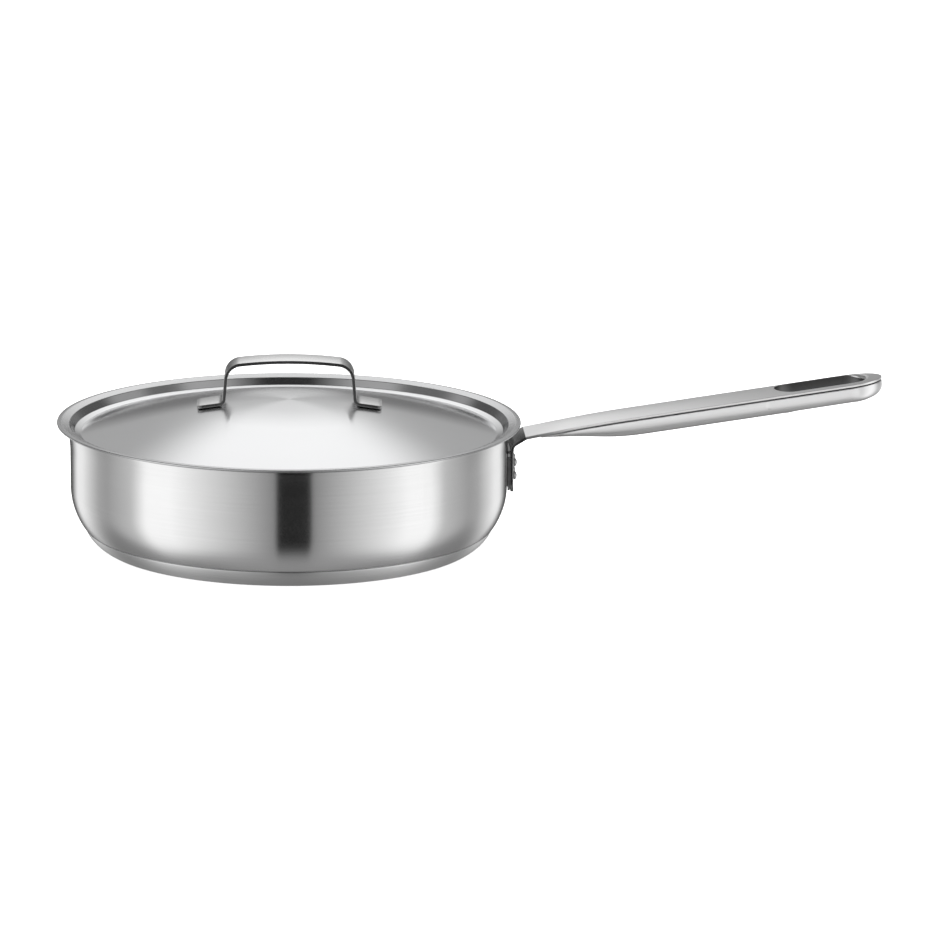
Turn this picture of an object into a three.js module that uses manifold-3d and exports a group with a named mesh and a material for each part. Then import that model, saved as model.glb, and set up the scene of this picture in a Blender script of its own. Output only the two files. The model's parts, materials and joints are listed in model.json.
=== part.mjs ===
// Shallow stainless saute pan with a straight wall, a riveted hollow steel handle and a stepped steel lid.
// Millimetres, +Z up. The origin is the centre of the base underside and the handle runs along +X.
import * as THREE from "three";
import { mergeVertices } from "three/addons/utils/BufferGeometryUtils.js";
import Module from "manifold-3d";

// ---- pan body -------------------------------------------------------------
const WALL_R = 131; // outside radius of the straight wall
const SHEET = 1.0; // wall sheet
const CORNER_R = 40; // outside radius of the sweep from wall to base
const CORNER_Z = 34.6; // height at which the sweep meets the straight wall
const FLOOR_R = 14; // inside radius between floor and sweep
const FLOOR_Z = 8.6; // cooking surface
const FLARE_Z = 57; // height at which the wall starts to flare
const RIM_OUT_R = 132.5; // outside radius at the pouring rim
const RIM_Z = 71.2; // top of the rim

// ---- base -----------------------------------------------------------------
const BASE_R = 113.4; // flat standing face
const CAP_TOP_R = 122.8; // radius where the base cap ends under the wall
const CAP_TOP_Z = 10.3;
const CAP_BULGE = 2.2; // how far the cap's side rounds out of a straight cone
const CAP_T = 0.8;
const CORE_R = 116; // aluminium heat spreader
const CORE_Z0 = 1.1;
const CORE_Z1 = 7.3;

// ---- lid ------------------------------------------------------------------
const LID_T = 0.9;
const LID_EDGE_R = 138.75; // outer edge of the flange
const LID_EDGE_Z = 74.0; // top of that edge
const LID_KNEE_R = 131.3; // where the flange turns down
const LID_KNEE_Z = 72.4;
const LID_FOOT_R = 127.5; // bottom of the slanted step
const LID_RING_R = 125.4; // middle of the round channel
const LID_RING_Z = 67.0;
const DOME_FOOT_R = 123.3;
const DOME_FOOT_Z = 67.5;
const DOME_R = 422.8;
const DOME_Z = 85.8; // apex

// ---- lid handle -----------------------------------------------------------
const STRAP_W = 22;
const STRAP_T = 1.95;
const STRAP_TOP_Z = 111.3;
const STRAP_CROWN_R = 262; // slight arch of the top
const STRAP_LEG_TOP_X = 38.9; // outer face of a leg below the top corner
const STRAP_LEG_FOOT_X = 40.4; // outer face of a leg above the foot bend
const STRAP_CORNER_R = 10.5;
const STRAP_FOOT_R = 2.6; // inner radius of the foot bend
const STRAP_FOOT_X = 55.3; // end of each foot

// ---- long handle ----------------------------------------------------------
const GRIP_X0 = 145.5; // reference point on the edge of the top plate
const GRIP_Z0 = 68.63;
const GRIP_SLOPE = 0.1542; // rise along the handle
const GRIP_SAG = 1.75; // how far the root lies below the straight line of the grip
const GRIP_SAG_X = 200; // where the grip becomes straight
const GRIP_T = 1.4; // top plate
const GRIP_TAB_T = 1.8; // plate thickness at the bend and the riveted tab
const GRIP_HALF = 15.8; // half width of the grip
const GRIP_ROOT_HALF = 15.0;
const GRIP_TIP_X = 356.3;
const GRIP_END = 21; // length of the round end
const GRIP_CROWN = 1.8; // rise of the middle of the top plate over its edges
const BEND_R = 9.3; // wall side radius of the bend
const TAB_FACE_R = 133.0; // wall side face of the tab
const TAB_HALF = 14;
const TAB_ROUND = 8; // corner radius at the tab's lower end
const TAB_Z = 30.6; // lower end of the tab
const BELLY_T = 1.2;
const BELLY_POWER = 4.5; // the underside's section: upright sides, rounded lower corners
const SEAM = 0.3; // gap between pieces that touch

// ---- hanging slot ---------------------------------------------------------
const SLOT_HALF = 12.2;
const SLOT_X0 = 304.0; // centres of the slot's two round ends
const SLOT_X1 = 334.0;
const COLLAR_T = 1.0;

// ---- backing plate and rivets ---------------------------------------------
const PLATE_R0 = 131.3;
const PLATE_R1 = 132.7;
const PLATE_HALF = 13.2;
const PLATE_Z0 = 32.2;
const PLATE_Z1 = 56.5;
const RIVET_Y = 6.9;
const RIVET_Z = [40.8, 48.8];
const RIVET_SHANK_R = 1.5;
const RIVET_HEAD_R = 2.6;
const RIVET_HEAD_H = 1.7;
const RIVET_INNER_R = 3.1;
const RIVET_INNER_H = 1.1;

const ROUND = 64; // facets of the large turned pieces

const wasm = await Module();
wasm.setup();
const { Manifold, Mesh } = wasm;

function solidOf(geometry) {
  const bare = new THREE.BufferGeometry();
  bare.setAttribute("position", geometry.getAttribute("position").clone());
  if (geometry.index) bare.setIndex(geometry.index.clone());
  const welded = mergeVertices(bare, 1e-4);
  const index = welded.index.array;
  const keep = [];
  for (let i = 0; i < index.length; i += 3) {
    const [a, b, c] = [index[i], index[i + 1], index[i + 2]];
    if (a !== b && b !== c && a !== c) keep.push(a, b, c);
  }
  const make = (tris) =>
    new Manifold(
      new Mesh({
        numProp: 3,
        vertProperties: new Float32Array(welded.attributes.position.array),
        triVerts: new Uint32Array(tris),
      }),
    );
  const first = make(keep);
  if (first.volume() >= 0) return first;
  const turned = [];
  for (let i = 0; i < keep.length; i += 3)
    turned.push(keep[i], keep[i + 2], keep[i + 1]);
  return make(turned);
}

function geometryOf(solid) {
  const m = solid.getMesh();
  const out = new Float32Array(m.numVert * 3);
  for (let i = 0; i < m.numVert; i++)
    out.set(m.vertProperties.subarray(i * m.numProp, i * m.numProp + 3), i * 3);
  const g = new THREE.BufferGeometry();
  g.setAttribute("position", new THREE.BufferAttribute(out, 3));
  g.setIndex(new THREE.BufferAttribute(new Uint32Array(m.triVerts), 1));
  g.computeVertexNormals();
  return g;
}

// A closed (radius, height) outline turned round the Z axis.
function turned(points, facets = ROUND) {
  const g = new THREE.LatheGeometry(
    points.map(([r, z]) => new THREE.Vector2(r, z)),
    facets,
  );
  g.rotateX(Math.PI / 2);
  return solidOf(g);
}

function arc(cx, cz, r, from, to, steps) {
  const out = [];
  for (let i = 0; i <= steps; i++) {
    const a = ((from + ((to - from) * i) / steps) * Math.PI) / 180;
    out.push([cx + r * Math.cos(a), cz + r * Math.sin(a)]);
  }
  return out;
}

// A flat outline in the XZ plane pushed out to both sides of Y = 0.
function slab(outline, width) {
  const shape = new THREE.Shape(
    outline.map(([x, z]) => new THREE.Vector2(x, z)),
  );
  const g = new THREE.ExtrudeGeometry(shape, {
    depth: width,
    bevelEnabled: false,
    curveSegments: 1,
  });
  g.translate(0, 0, -width / 2);
  g.rotateX(Math.PI / 2);
  return solidOf(g);
}

// Rows of points in order along a piece, each row one closed section, capped at both ends in strips.
function lofted(upper, lower) {
  const rows = upper.length;
  const cols = upper[0].length;
  const position = [];
  for (const side of [upper, lower])
    for (const row of side) for (const p of row) position.push(...p);
  const U = (i, j) => i * cols + j;
  const L = (i, j) => rows * cols + i * cols + j;
  const index = [];
  const quad = (a, b, c, d) => index.push(a, b, c, a, c, d);
  for (let i = 0; i + 1 < rows; i++) {
    for (let j = 0; j + 1 < cols; j++) {
      quad(U(i, j), U(i + 1, j), U(i + 1, j + 1), U(i, j + 1));
      quad(L(i, j), L(i, j + 1), L(i + 1, j + 1), L(i + 1, j));
    }
    quad(U(i, 0), L(i, 0), L(i + 1, 0), U(i + 1, 0));
    const e = cols - 1;
    quad(U(i, e), U(i + 1, e), L(i + 1, e), L(i, e));
  }
  for (let j = 0; j + 1 < cols; j++) {
    quad(U(0, j), U(0, j + 1), L(0, j + 1), L(0, j));
    const e = rows - 1;
    quad(U(e, j), L(e, j), L(e, j + 1), U(e, j + 1));
  }
  const g = new THREE.BufferGeometry();
  g.setAttribute(
    "position",
    new THREE.BufferAttribute(new Float32Array(position), 3),
  );
  g.setIndex(index);
  return solidOf(g);
}

// ---- pan body: one drawn sheet --------------------------------------------
const cornerX = WALL_R - CORNER_R;
const innerCorner = CORNER_R - SHEET;
const floorCz = FLOOR_Z + FLOOR_R;
const floorCx =
  cornerX + Math.sqrt((innerCorner - FLOOR_R) ** 2 - (floorCz - CORNER_Z) ** 2);
const joinDeg =
  (Math.atan2(floorCz - CORNER_Z, floorCx - cornerX) * 180) / Math.PI;
const underR = FLOOR_R + SHEET;
const stepDeg =
  (Math.asin((CAP_TOP_Z + 0.1 - floorCz) / underR) * 180) / Math.PI;
const grooveDeg =
  (Math.asin((CAP_TOP_Z + SEAM + 0.05 - CORNER_Z) / CORNER_R) * 180) / Math.PI;
const bodyOutline = [
  [0, FLOOR_Z],
  ...arc(floorCx, floorCz, FLOOR_R, -90, joinDeg, 4),
  ...arc(cornerX, CORNER_Z, innerCorner, joinDeg, 0, 4).slice(1),
  [WALL_R - SHEET, FLARE_Z],
  [RIM_OUT_R - 0.85, RIM_Z - 0.5],
  [RIM_OUT_R - 0.5, RIM_Z],
  [RIM_OUT_R, RIM_Z - 0.5],
  [WALL_R, FLARE_Z],
  ...arc(cornerX, CORNER_Z, CORNER_R, 0, grooveDeg, 5),
  ...arc(floorCx, floorCz, underR, stepDeg, -90, 3),
  [0, FLOOR_Z - SHEET],
];
let body = turned(bodyOutline);

// ---- base: aluminium core inside a steel cap ------------------------------
const chord = Math.hypot(CAP_TOP_R - BASE_R, CAP_TOP_Z);
const capR = (chord ** 2 / 4 + CAP_BULGE ** 2) / (2 * CAP_BULGE);
const capMidR = (BASE_R + CAP_TOP_R) / 2;
const capMidZ = CAP_TOP_Z / 2;
const inward = [-CAP_TOP_Z / chord, (CAP_TOP_R - BASE_R) / chord];
const capCx = capMidR + inward[0] * (capR - CAP_BULGE);
const capCz = capMidZ + inward[1] * (capR - CAP_BULGE);
const capA0 = (Math.atan2(-capCz, BASE_R - capCx) * 180) / Math.PI;
const capA1 =
  (Math.atan2(CAP_TOP_Z - capCz, CAP_TOP_R - capCx) * 180) / Math.PI;
const cap = turned([
  [0, 0],
  ...arc(capCx, capCz, capR, capA0, capA1, 5),
  ...arc(capCx, capCz, capR - CAP_T, capA1, capA0, 5),
  [0, CAP_T],
]);
const core = turned([
  [0, CORE_Z0],
  [CORE_R - 4, CORE_Z0],
  [CORE_R, CORE_Z0 + 2.8],
  [CORE_R, CORE_Z1 - 0.9],
  [CORE_R - 3.6, CORE_Z1],
  [0, CORE_Z1],
]);

// ---- lid: one pressed sheet -----------------------------------------------
const domeCz = DOME_Z - DOME_R;
const domeDeg = (Math.acos(DOME_FOOT_R / DOME_R) * 180) / Math.PI;
const lidTop = [
  ...arc(0, domeCz, DOME_R, 90, domeDeg, 6),
  [DOME_FOOT_R + 0.9, DOME_FOOT_Z - 0.35],
  [LID_RING_R, LID_RING_Z],
  [LID_FOOT_R - 0.7, LID_RING_Z + 0.1],
  [LID_FOOT_R, LID_RING_Z + 0.45],
  [LID_KNEE_R - 0.5, LID_KNEE_Z - 0.75],
  [LID_KNEE_R + 0.5, LID_KNEE_Z + 0.02],
  [LID_EDGE_R - 0.5, LID_EDGE_Z - 0.12],
];
const lidUnder = [];
for (let i = 0; i < lidTop.length; i++) {
  const a = lidTop[Math.max(0, i - 1)];
  const b = lidTop[Math.min(lidTop.length - 1, i + 1)];
  const l = Math.hypot(b[0] - a[0], b[1] - a[1]);
  lidUnder.push([
    i === 0 ? 0 : lidTop[i][0] + (LID_T * (b[1] - a[1])) / l,
    lidTop[i][1] - (LID_T * (b[0] - a[0])) / l,
  ]);
}
lidUnder[0] = [0, DOME_Z - LID_T];
const lid = turned([
  [0, DOME_Z],
  ...lidTop.slice(1),
  [LID_EDGE_R, LID_EDGE_Z - 0.45],
  [LID_EDGE_R, LID_EDGE_Z - 0.9],
  [LID_EDGE_R - 0.4, LID_EDGE_Z - 1.25],
  ...lidUnder.slice(0, -1).reverse(),
]);

// ---- lid handle: one bent strap -------------------------------------------
function strapHalf() {
  // outer side from the middle of the top to the end of the foot, as a path with normals
  const path = [];
  const crownCz = STRAP_TOP_Z - STRAP_CROWN_R;
  const lean = Math.atan2(STRAP_LEG_FOOT_X - STRAP_LEG_TOP_X, 18);
  // leg line: passes (STRAP_LEG_TOP_X, 101) and leans out by `lean`
  const legX = (z) => STRAP_LEG_TOP_X + (101 - z) * Math.tan(lean);
  // corner circle, tangent to the crown from inside and to the leg
  let cz = STRAP_TOP_Z - STRAP_CORNER_R;
  let cx = 0;
  for (let k = 0; k < 20; k++) {
    cx = legX(cz) - STRAP_CORNER_R / Math.cos(lean);
    cz = crownCz + Math.sqrt((STRAP_CROWN_R - STRAP_CORNER_R) ** 2 - cx ** 2);
  }
  const a0 = (Math.atan2(cz - crownCz, cx) * 180) / Math.PI;
  for (const p of arc(0, crownCz, STRAP_CROWN_R, 90, a0, 3)) path.push(p);
  const a1 = (lean * 180) / Math.PI;
  path.push(
    ...arc(cx, cz, STRAP_CORNER_R, a0, a1, 6).slice(1),
  );
  // foot: lies along the dome's slope under its own middle
  const fx = 48;
  const slope = Math.asin(fx / DOME_R);
  const domeAt = domeCz + Math.sqrt(DOME_R ** 2 - fx ** 2);
  const footTop = (x) =>
    domeAt + 0.34 + STRAP_T - (x - fx) * Math.tan(slope);
  // inner bend between the leg's outer face and the foot's top face
  const r = STRAP_FOOT_R;
  const bx0 = (z) => legX(z) + r / Math.cos(lean);
  let bx = bx0(90);
  let bz = 90;
  for (let k = 0; k < 20; k++) {
    bz = footTop(bx) + r / Math.cos(slope);
    bx = bx0(bz);
  }
  path.push(
    ...arc(bx, bz, r, 180 + a1, 270 - (slope * 180) / Math.PI, 4),
  );
  path.push([STRAP_FOOT_X, footTop(STRAP_FOOT_X)]);
  return path;
}
const outerHalf = strapHalf();
const outerSide = [
  ...outerHalf
    .slice(1)
    .reverse()
    .map(([x, z]) => [-x, z]),
  ...outerHalf,
];
const innerSide = outerSide.map((p, i) => {
  const a = outerSide[Math.max(0, i - 1)];
  const b = outerSide[Math.min(outerSide.length - 1, i + 1)];
  const l1 = Math.hypot(p[0] - a[0], p[1] - a[1]) || 1;
  const l2 = Math.hypot(b[0] - p[0], b[1] - p[1]) || 1;
  const d1 = i === 0 ? [(b[0] - p[0]) / l2, (b[1] - p[1]) / l2] : [(p[0] - a[0]) / l1, (p[1] - a[1]) / l1];
  const d2 = i === outerSide.length - 1 ? d1 : [(b[0] - p[0]) / l2, (b[1] - p[1]) / l2];
  const n = [d1[1] + d2[1], -(d1[0] + d2[0])];
  const l = Math.hypot(...n);
  const cosHalf = Math.sqrt((1 + d1[0] * d2[0] + d1[1] * d2[1]) / 2);
  const t = STRAP_T / Math.max(cosHalf, 0.5);
  return [p[0] + (n[0] / l) * t, p[1] + (n[1] / l) * t];
});
const strap = slab([...outerSide, ...innerSide.slice().reverse()], STRAP_W);

// ---- long handle ----------------------------------------------------------
const edgeZ = (x) =>
  GRIP_Z0 +
  GRIP_SLOPE * (x - GRIP_X0) -
  GRIP_SAG * Math.max(0, (GRIP_SAG_X - x) / 55) ** 1.6;
const leanAt = (x) => Math.atan((edgeZ(x + 0.05) - edgeZ(x - 0.05)) / 0.1);
const smooth = (x, a, b) => {
  const t = Math.min(1, Math.max(0, (x - a) / (b - a)));
  return t * t * (3 - 2 * t);
};
const tipCx = GRIP_TIP_X - GRIP_END;
function halfWidth(x) {
  const w =
    GRIP_ROOT_HALF + (GRIP_HALF - GRIP_ROOT_HALF) * smooth(x, 142, 190);
  if (x <= tipCx) return w;
  return GRIP_HALF * Math.sqrt(Math.max(0.004, 1 - ((x - tipCx) / GRIP_END) ** 2));
}
const crownAt = (x) =>
  GRIP_CROWN * smooth(x, 148, 195) * Math.min(1, (halfWidth(x) / GRIP_HALF) ** 2);
// depth of the underside below the edge of the top plate
const BELLY = [
  [152, 3.0],
  [162.5, 4.9],
  [171.5, 6.7],
  [180.5, 8.6],
  [189.6, 10.6],
  [198.6, 11.8],
  [208, 12.2],
  [290, 12.3],
  [335.3, 12.1],
  [340, 12.0],
  [345, 11.75],
  [349, 11.05],
  [351.5, 10.2],
  [353.5, 9.0],
  [355, 7.5],
  [356, 5.4],
  [356.2, 4.2],
];
function depthAt(x) {
  if (x <= BELLY[0][0]) return BELLY[0][1];
  for (let i = 1; i < BELLY.length; i++)
    if (x <= BELLY[i][0]) {
      const [x0, d0] = BELLY[i - 1];
      const [x1, d1] = BELLY[i];
      return d0 + ((d1 - d0) * (x - x0)) / (x1 - x0);
    }
  return BELLY[BELLY.length - 1][1];
}
const ACROSS = 8;
const across = Array.from({ length: ACROSS + 1 }, (_, j) => -1 + (2 * j) / ACROSS);

// stations of the plate: along the tab, round the bend, out along the grip
const slopeDeg = (Math.atan(GRIP_SLOPE) * 180) / Math.PI;
const bendCx = TAB_FACE_R + BEND_R;
const rootLean = leanAt(bendCx);
const rootDeg = (rootLean * 180) / Math.PI;
const bendCz = edgeZ(bendCx) - BEND_R / Math.cos(rootLean);
const stations = [];
for (const [z, w] of [
  ...[0, 20, 42, 66, 90].map((deg) => [
    TAB_Z + TAB_ROUND * (1 - Math.cos((deg * Math.PI) / 180)),
    TAB_HALF - TAB_ROUND + TAB_ROUND * Math.sin((deg * Math.PI) / 180),
  ]),
  [48, TAB_HALF],
  [bendCz, TAB_HALF],
])
  stations.push({ x: TAB_FACE_R, z, nx: -1, nz: 0, w, k: 1, t: GRIP_TAB_T });
for (let i = 1; i <= 7; i++) {
  const a = ((180 - ((90 - rootDeg) * i) / 7) * Math.PI) / 180;
  const f = i / 7;
  stations.push({
    x: bendCx + BEND_R * Math.cos(a),
    z: bendCz + BEND_R * Math.sin(a),
    nx: Math.cos(a),
    nz: Math.sin(a),
    w: TAB_HALF + (GRIP_ROOT_HALF - TAB_HALF) * f,
    k: (1 - f) ** 2,
    t: GRIP_TAB_T,
  });
}
const alongX = [145, 152, 158, 164, 170, 177, 184, 192, 204, 230, 260, 290, 315, 335.3, 340, 344, 347.5, 350, 352, 353.5, 355, 356, 356.3];
for (const x of alongX)
  stations.push({
    x,
    z: edgeZ(x),
    nx: -Math.sin(leanAt(x)),
    nz: Math.cos(leanAt(x)),
    w: halfWidth(x),
    k: 0,
    t: GRIP_TAB_T + (GRIP_T - GRIP_TAB_T) * smooth(x, 150, 175),
  });
function plateRow(s, drop) {
  return across.map((q) => {
    const y = q * s.w;
    const crown = s.k > 0 || s.nx < -0.9 ? 0 : crownAt(s.x) * (1 - q * q);
    const follow = s.k * (TAB_FACE_R - Math.sqrt(TAB_FACE_R ** 2 - y * y));
    return [
      s.x - follow - s.nx * drop,
      y,
      s.z + crown - s.nz * drop,
    ];
  });
}
let plate = lofted(
  stations.map((s) => plateRow(s, 0)),
  stations.map((s) => plateRow(s, s.t)),
);

// underside: a round trough below the plate
const bellyX = [152, 157, 162.5, 167, 171.5, 176, 180.5, 185, 189.6, 194, 198.6, 208, 235, 262, 290, 312, 335.3, 340, 345, 349, 351.5, 353.5, 355, 356, 356.2];
const tx = -Math.sin((slopeDeg * Math.PI) / 180);
const tz = Math.cos((slopeDeg * Math.PI) / 180);
const BOWL = 14;
function bellyRows(inset, lift) {
  const upper = [];
  const lower = [];
  for (const x of bellyX) {
    const w = halfWidth(x) - inset;
    const d = depthAt(x) - inset;
    if (w < 0.6 || d < GRIP_T + SEAM + 0.3) continue;
    const t = GRIP_TAB_T + (GRIP_T - GRIP_TAB_T) * smooth(x, 150, 175) + SEAM;
    const up = [];
    const down = [];
    for (let j = 0; j <= BOWL; j++) {
      const a = Math.PI * (1 - j / BOWL);
      const c = Math.cos(a);
      const s = Math.sin(a);
      const q = Math.sign(c) * Math.abs(c) ** (2 / BELLY_POWER);
      const y = w * q;
      const crown = crownAt(x) * (1 - (y / halfWidth(x)) ** 2);
      const top = crown - t + lift;
      const bottom = Math.min(
        top - 0.4,
        -t - 0.4 - (d - t - 0.4) * s ** (2 / BELLY_POWER),
      );
      const lean = leanAt(x);
      const at = (h) => [x - Math.sin(lean) * h, y, edgeZ(x) + Math.cos(lean) * h];
      up.push(at(top));
      down.push(at(bottom));
    }
    upper.push(up);
    lower.push(down);
  }
  return [upper, lower];
}
const bellyOuter = lofted(...bellyRows(0, 0));
const bellyInner = lofted(...bellyRows(BELLY_T, 4));

// slot through the grip, square to the plate
function slotPrism(half) {
  const pts = [];
  const n = 12;
  for (let i = 0; i <= n; i++) {
    const a = Math.PI / 2 + (Math.PI * i) / n;
    pts.push(new THREE.Vector2(SLOT_X0 + half * Math.cos(a), half * Math.sin(a)));
  }
  for (let i = 0; i <= n; i++) {
    const a = -Math.PI / 2 + (Math.PI * i) / n;
    pts.push(new THREE.Vector2(SLOT_X1 + half * Math.cos(a), half * Math.sin(a)));
  }
  const g = new THREE.ExtrudeGeometry(new THREE.Shape(pts), {
    depth: 44,
    bevelEnabled: false,
    curveSegments: 1,
  });
  const mid = (SLOT_X0 + SLOT_X1) / 2;
  g.translate(-mid, 0, -26);
  g.rotateY((-slopeDeg * Math.PI) / 180);
  g.translate(mid, 0, edgeZ(mid));
  return solidOf(g);
}
const slot = slotPrism(SLOT_HALF);
// the plate's slot edge is turned down as a collar that reaches the underside
const rowsX = bellyX.filter((x) => x > 280 && x < 356.1);
const envAcross = [-1, -0.97, -0.93, -0.88, -0.8, -0.65, 0, 0.65, 0.8, 0.88, 0.93, 0.97, 1];
const envUp = rowsX.map((x) =>
  envAcross.map((q) => {
    const h = crownAt(x) * (1 - q * q) - 0.5 * GRIP_T;
    return [x + tx * h, q * halfWidth(x), edgeZ(x) + tz * h];
  }),
);
const envLow = rowsX.map((x) =>
  envAcross.map((q) => {
    const top = GRIP_T + SEAM + 0.4;
    const h =
      -top -
      (depthAt(x) - top) * (1 - Math.abs(q) ** BELLY_POWER) ** (1 / BELLY_POWER);
    return [x + tx * h, q * halfWidth(x), edgeZ(x) + tz * h];
  }),
);
const collar = slotPrism(SLOT_HALF + COLLAR_T)
  .subtract(slot)
  .intersect(lofted(envUp, envLow));
plate = plate.subtract(slot).add(collar);
let belly = bellyOuter
  .subtract(bellyInner)
  .subtract(slotPrism(SLOT_HALF + COLLAR_T + SEAM));

// ---- backing plate between wall and tab -----------------------------------
function sectorPlate(r0, r1, half, z0, z1) {
  const rows = [
    [z0, half - 2.5],
    [z0 + 1.2, half - 0.6],
    [z0 + 3, half],
    [z1 - 3, half],
    [z1 - 1.2, half - 0.6],
    [z1, half - 2.5],
  ];
  const row = (r) => ([z, w]) =>
    across.map((q) => {
      const y = q * w;
      return [Math.sqrt(r * r - y * y), y, z];
    });
  return lofted(rows.map(row(r1)), rows.map(row(r0)));
}
let backing = sectorPlate(PLATE_R0, PLATE_R1, PLATE_HALF, PLATE_Z0, PLATE_Z1);

// ---- rivets ---------------------------------------------------------------
const tabOuter = TAB_FACE_R + GRIP_TAB_T;
const wallIn = WALL_R - SHEET;
const rivetOutline = (() => {
  const out = [[0, wallIn - SEAM - RIVET_INNER_H]];
  const dome = (r, h, steps) =>
    Array.from({ length: steps }, (_, i) => {
      const a = ((i + 1) / steps) * (Math.PI / 2);
      return [r * Math.sin(a), h * Math.cos(a)];
    });
  for (const [r, h] of dome(RIVET_INNER_R, RIVET_INNER_H - 0.3, 3))
    out.push([r, wallIn - SEAM - 0.3 - h]);
  out.push([RIVET_INNER_R, wallIn - SEAM]);
  out.push([RIVET_SHANK_R, wallIn - SEAM]);
  out.push([RIVET_SHANK_R, tabOuter + SEAM]);
  out.push([RIVET_HEAD_R, tabOuter + SEAM]);
  out.push([RIVET_HEAD_R, tabOuter + SEAM + 0.3]);
  for (const [r, h] of dome(RIVET_HEAD_R, RIVET_HEAD_H - 0.3, 3).reverse().slice(1))
    out.push([r, tabOuter + SEAM + 0.3 + h]);
  out.push([0, tabOuter + SEAM + RIVET_HEAD_H]);
  return out;
})();
function placedRivet(outline, y, z, facets) {
  const g = new THREE.LatheGeometry(
    outline.map(([r, d]) => new THREE.Vector2(r, d)),
    facets,
  );
  g.rotateZ(-Math.PI / 2); // the axis now runs along +X
  g.rotateZ(Math.asin(y / WALL_R));
  g.translate(0, 0, z);
  return solidOf(g);
}
const rivets = [];
for (const [i, z] of RIVET_Z.entries())
  for (const [j, y] of [-RIVET_Y, RIVET_Y].entries()) {
    const name = `rivet_${["lower", "upper"][i]}_${["near", "far"][j]}`;
    rivets.push([name, placedRivet(rivetOutline, y, z, 14)]);
    const hole = placedRivet(
      [
        [0, 120],
        [RIVET_SHANK_R + SEAM, 120],
        [RIVET_SHANK_R + SEAM, 145],
        [0, 145],
      ],
      y,
      z,
      12,
    );
    body = body.subtract(hole);
    backing = backing.subtract(hole);
    plate = plate.subtract(hole);
  }

// ---- the group ------------------------------------------------------------
const steel = (color, roughness) =>
  new THREE.MeshStandardMaterial({ color, metalness: 1, roughness });
const group = new THREE.Group();
group.name = "saute_pan";
function piece(name, solid, material) {
  const m = new THREE.Mesh(geometryOf(solid), material);
  m.name = name;
  group.add(m);
}
piece("pan_body", body, steel(0xc9cbcc, 0.24));
piece("base_core", core, steel(0xb4b6b8, 0.5));
piece("base_cap", cap, steel(0xb3b5b7, 0.38));
piece("handle_backing_plate", backing, steel(0x9a9c9e, 0.4));
piece("handle_top", plate, steel(0xc4c6c8, 0.3));
piece("handle_underside", belly, steel(0xc2c4c6, 0.32));
for (const [name, solid] of rivets) piece(name, solid, steel(0xbfc1c3, 0.3));
piece("lid_shell", lid, steel(0xc6c8ca, 0.3));
piece("lid_handle", strap, steel(0xb9bbbd, 0.28));

export default group;
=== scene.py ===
import json
import math

import bpy
import bmesh
import numpy as np
from mathutils import Matrix, Vector

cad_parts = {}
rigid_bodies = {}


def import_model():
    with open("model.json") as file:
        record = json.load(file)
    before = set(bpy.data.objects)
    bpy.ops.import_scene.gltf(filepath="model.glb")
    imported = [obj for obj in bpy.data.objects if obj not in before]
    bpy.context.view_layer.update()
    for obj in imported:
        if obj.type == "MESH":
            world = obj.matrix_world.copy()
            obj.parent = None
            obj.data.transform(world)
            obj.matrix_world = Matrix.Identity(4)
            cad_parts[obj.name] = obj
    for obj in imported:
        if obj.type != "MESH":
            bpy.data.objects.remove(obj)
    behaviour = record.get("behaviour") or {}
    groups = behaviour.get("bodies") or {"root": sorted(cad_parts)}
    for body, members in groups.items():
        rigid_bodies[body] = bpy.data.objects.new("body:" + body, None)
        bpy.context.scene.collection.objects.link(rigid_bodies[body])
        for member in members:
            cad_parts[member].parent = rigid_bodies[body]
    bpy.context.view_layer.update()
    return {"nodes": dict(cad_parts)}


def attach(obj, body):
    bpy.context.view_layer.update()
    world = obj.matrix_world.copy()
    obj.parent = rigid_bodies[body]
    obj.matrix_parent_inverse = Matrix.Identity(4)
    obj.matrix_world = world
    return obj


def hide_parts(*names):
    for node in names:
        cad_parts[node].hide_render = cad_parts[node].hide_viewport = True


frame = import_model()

MM = 0.001

# ---------------------------------------------------------------- dimensions, mm
WALL_R, SHEET = 131.0, 1.0
CORNER_R, CORNER_Z = 40.0, 34.6
FLOOR_R, FLOOR_Z = 14.0, 8.6
FLARE_Z, RIM_OUT_R, RIM_Z = 57.0, 132.5, 71.2
BASE_R, CAP_TOP_R, CAP_TOP_Z, CAP_BULGE, CAP_T = 113.4, 122.8, 10.3, 1.2, 0.8
LID_T = 0.9
LID_EDGE_R, LID_EDGE_Z = 138.75, 74.0
LID_KNEE_R, LID_KNEE_Z = 131.3, 72.4
LID_FOOT_R, LID_RING_Z = 127.3, 67.0
DOME_FOOT_R, DOME_FOOT_Z, DOME_Z = 123.6, 67.25, 85.8
DOME_CAP_R, DOME_CAP_EDGE = 352.0, 60.0
STRAP_W, STRAP_T, STRAP_TOP_Z, STRAP_CROWN_R = 22.0, 1.95, 111.3, 262.0
STRAP_LEG_TOP_X, STRAP_LEG_FOOT_X = 38.9, 40.4
STRAP_CORNER_R, STRAP_FOOT_R, STRAP_FOOT_X = 10.5, 2.6, 55.3
GRIP_X0, GRIP_Z0, GRIP_SLOPE, GRIP_SAG, GRIP_SAG_X = 145.5, 68.63, 0.1542, 1.75, 200.0
GRIP_T, GRIP_TAB_T, GRIP_HALF, GRIP_ROOT_HALF = 1.4, 1.8, 15.8, 15.0
GRIP_TIP_X, GRIP_END, GRIP_CROWN = 356.3, 21.0, 1.8
BEND_R, TAB_FACE_R, TAB_HALF, TAB_ROUND, TAB_Z = 9.3, 133.0, 14.0, 8.0, 30.6
SEAM = 0.3
SLOT_HALF, SLOT_X0, SLOT_X1, COLLAR_T = 12.2, 304.0, 334.0, 1.0
RIVET_Y, RIVET_Z = 6.9, (40.8, 48.8)


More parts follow.
